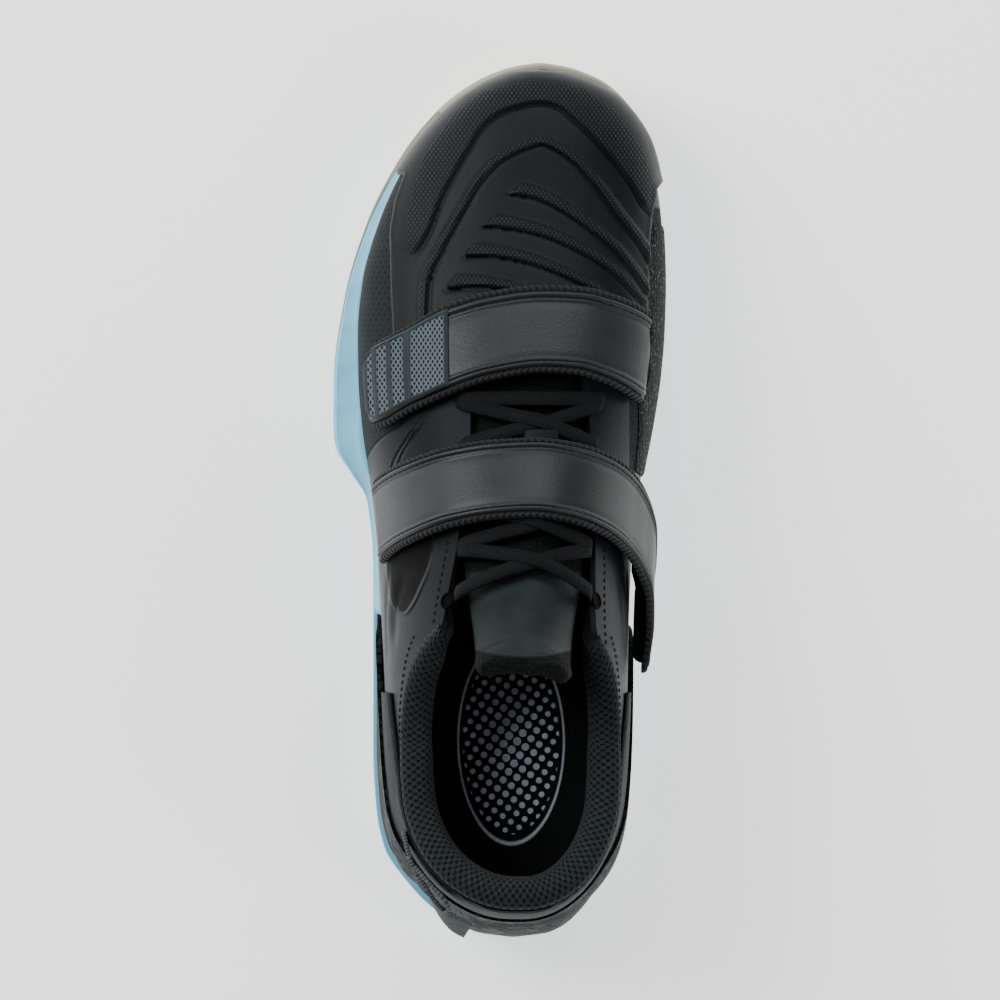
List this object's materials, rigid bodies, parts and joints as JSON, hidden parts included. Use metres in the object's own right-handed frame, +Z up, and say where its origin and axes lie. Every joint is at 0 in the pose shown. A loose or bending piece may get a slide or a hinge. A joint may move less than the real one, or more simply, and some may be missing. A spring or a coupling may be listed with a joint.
{
  "type": "weightlifting shoe",
  "caption": "Left weightlifting shoe with a raised heel wedge, ribbed vamp, instep straps over laces, padded collar and heel pull loop.",
  "frame": {"origin": "on the ground under the middle of the shoe's box", "axes": "+Z up, +Y from heel to toe, -X the lateral side"},
  "size_m": [0.1132, 0.2996, 0.1244],
  "materials": {
    "outsole": "matt greige rubber",
    "midsole": "satin pale teal moulded polyurethane",
    "heel_clip": "black moulded plastic with a mosaic grain",
    "insole": "black textile",
    "upper": "black synthetic leather",
    "overlay": "black synthetic leather with a fine cross grain",
    "counter": "smooth black synthetic leather",
    "lining": "black spacer mesh",
    "tongue": "dark green-grey synthetic leather",
    "lace": "black woven lace",
    "strap": "black synthetic leather",
    "tab": "grey moulded rubber with a cross grain",
    "webbing": "grey ribbed webbing"
  },
  "bodies": {
    "root": {"outsole": "outsole", "midsole": "midsole", "heel_clip": "heel_clip", "insole": "insole", "upper": "upper", "vamp_overlay": "overlay", "heel_counter": "counter", "collar_pad": "lining", "tongue": "tongue", "laces": "lace", "strap_front": "strap", "strap_rear": "strap", "strap_tab": "tab", "pull_loop": "webbing"}
  },
  "joints": []
}
